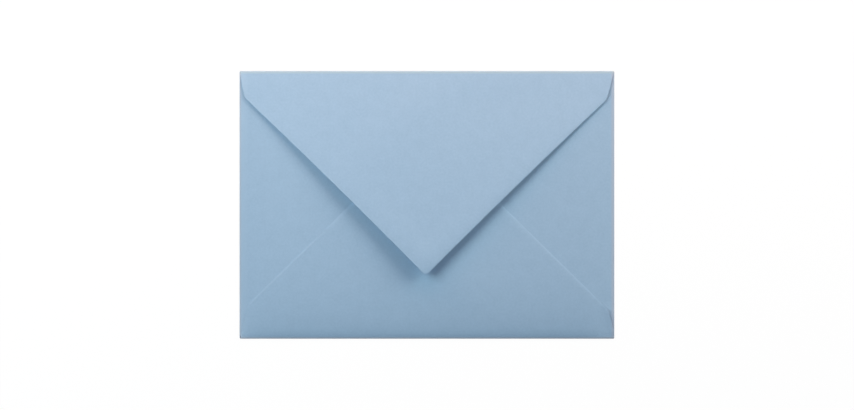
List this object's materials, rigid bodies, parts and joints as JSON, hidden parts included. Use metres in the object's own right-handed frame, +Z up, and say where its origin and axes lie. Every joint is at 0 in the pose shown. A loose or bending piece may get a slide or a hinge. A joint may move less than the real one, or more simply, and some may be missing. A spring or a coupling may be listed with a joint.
{
  "type": "paper envelope",
  "caption": "Paper envelope with a pointed flap, folded and glued from one sheet. Unsealed, it lies face down with its flap a little open.",
  "frame": {"origin": "middle of the footprint, on the surface that the front panel lies on", "axes": "+X along the top fold, to the right as the back is seen; +Y from the bottom fold to the top fold; +Z up out of the back"},
  "size_m": [0.175, 0.125, 0.0091],
  "materials": {
    "paper": "matte uncoated wove, pale blue"
  },
  "bodies": {
    "root": {"folded_sheet": "paper"}
  },
  "joints": []
}
